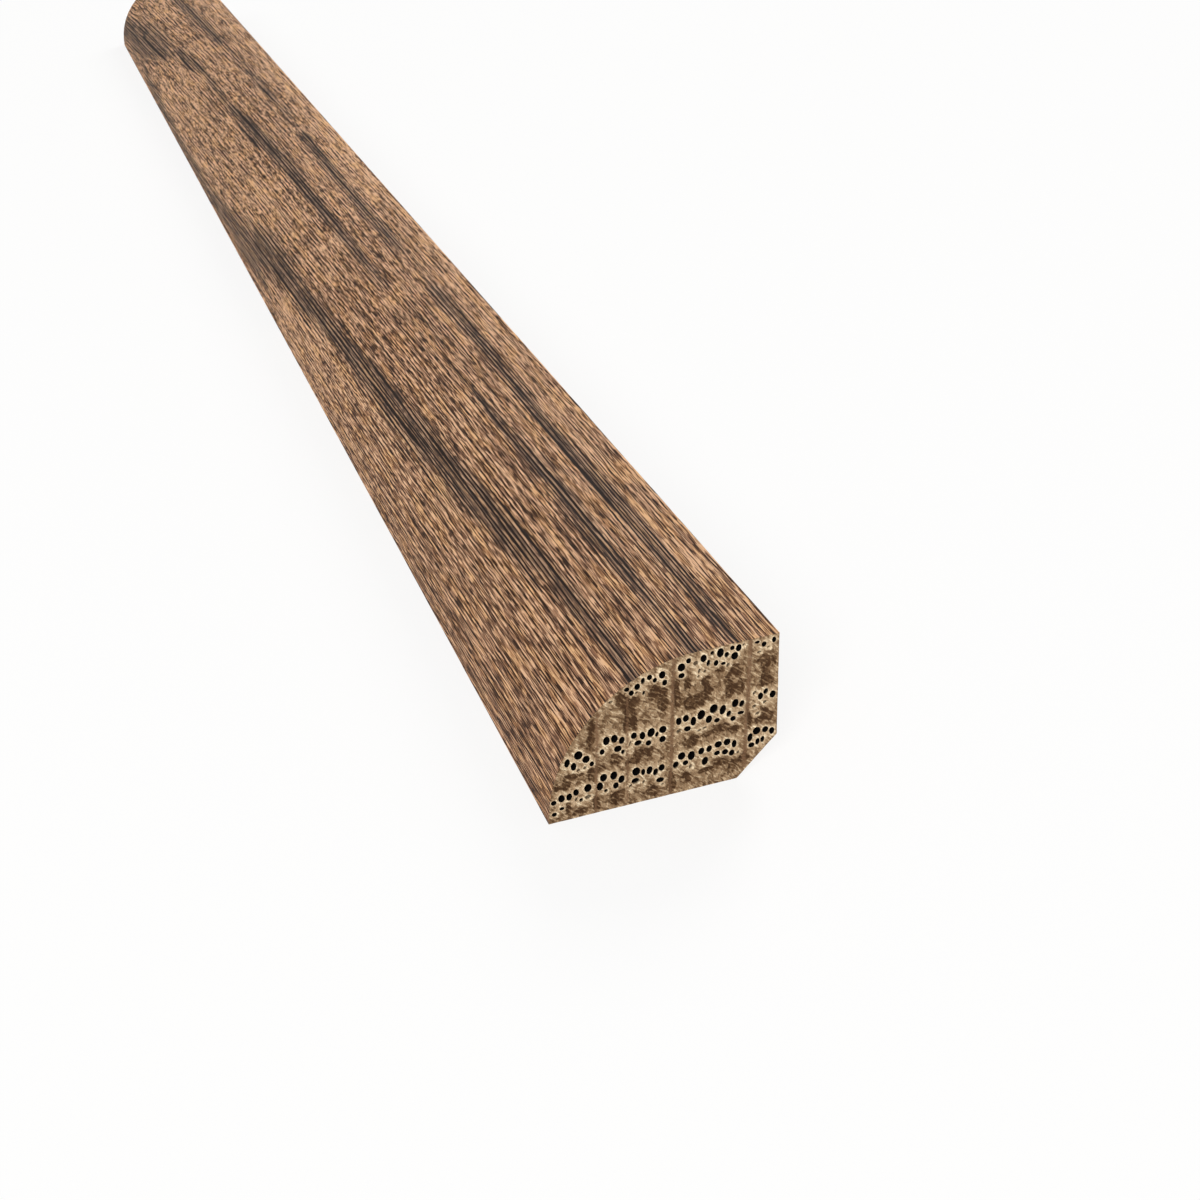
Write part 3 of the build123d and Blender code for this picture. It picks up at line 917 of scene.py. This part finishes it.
studio = {
    "lens": 49.74, "sensor": 36, "nearest": 0.005,  # mm, mm, metres
    "cameraPlace": (0.24894, -0.03774, 0.07892), "cameraTurn": (59.487, 1.746, 70.102),  # metres, degrees
    "floorSize": 16.0, "floorColour": "#fbfaf8", "floorGlow": 0.8,
    "fadeStart": 0.6, "fadeEnd": 2.5,  # metres out, between which the floor turns as white as the sky
    "skyStrength": 0.45,
    "lamps": {  # place, size, watts
        "keyLamp": ((1.5, -0.95, 1.15), 0.9, 26.8),
        "backLamp": ((-1.3, 1.2, 1.2), 0.9, 16.0),
    },
}


def cameraSees(tree):
    # 1 where the ray comes from the camera, straight or through gloss or glass
    path = addNode(tree, "ShaderNodeLightPath").outputs
    seen = path["Is Camera Ray"]
    for bounce in ("Is Glossy Ray", "Is Transmission Ray"):
        seen = addNode(tree, "ShaderNodeMath", {0: seen, 1: path[bounce]}, operation="MAXIMUM")
    return seen


def makeFloor():
    # a pale sheet that glows to the camera and grows white far out, so that no horizon shows
    half = studio["floorSize"] / 2
    corners = [(-half, -half, 0), (half, -half, 0), (half, half, 0), (-half, half, 0)]
    floorMesh = bpy.data.meshes.new("studioFloor")
    floorMesh.from_pydata(corners, [], [(0, 1, 2, 3)])
    floor = addObject("studioFloor", floorMesh)
    paper = bpy.data.materials.new("palePaper")
    tree = emptyTree(paper)
    place = addNode(tree, "ShaderNodeTexCoord").outputs["Object"]
    away = addNode(tree, "ShaderNodeVectorMath", {0: place}, operation="LENGTH").outputs["Value"]
    white = {0: away, 1: studio["fadeStart"], 2: studio["fadeEnd"], 3: studio["floorGlow"], 4: 1.0}
    whitening = addNode(tree, "ShaderNodeMapRange", white, interpolation_type="SMOOTHSTEP")
    glow = addNode(tree, "ShaderNodeMath", {0: cameraSees(tree), 1: whitening}, operation="MULTIPLY")
    matt = addNode(tree, "ShaderNodeBsdfDiffuse", {"Color": linearColour(studio["floorColour"])})
    shining = addNode(tree, "ShaderNodeEmission", {"Strength": 1.0})
    both = addNode(tree, "ShaderNodeMixShader", {0: glow, 1: matt, 2: shining})
    addNode(tree, "ShaderNodeOutputMaterial", {0: both})
    floorMesh.materials.append(paper)


def makeLight():
    world = bpy.data.worlds.new("softStudio")
    bpy.context.scene.world = world
    tree = emptyTree(world)
    strength = addNode(tree, "ShaderNodeMapRange", {0: cameraSees(tree), 3: studio["skyStrength"], 4: 1.0})
    sky = addNode(tree, "ShaderNodeBackground", {"Color": (1, 1, 1, 1), "Strength": strength})
    addNode(tree, "ShaderNodeOutputWorld", {0: sky})
    for name, (place, size, power) in studio["lamps"].items():
        light = bpy.data.lights.new(name, "AREA")
        light.shape, light.size, light.energy = "DISK", size, power
        lamp = addObject(name, light)
        lamp.location = place
        lamp.rotation_euler = (-Vector(place)).to_track_quat("-Z", "Y").to_euler()


def placeCamera():
    view = bpy.data.cameras.new("camera")
    view.lens, view.sensor_width, view.clip_start = studio["lens"], studio["sensor"], studio["nearest"]
    camera = addObject("camera", view)
    camera.location = studio["cameraPlace"]
    camera.rotation_euler = [math.radians(turn) for turn in studio["cameraTurn"]]
    bpy.context.scene.camera = camera


makeFloor()
makeLight()
placeCamera()
bpy.context.scene.view_settings.view_transform = "Standard"
print("studio ready")
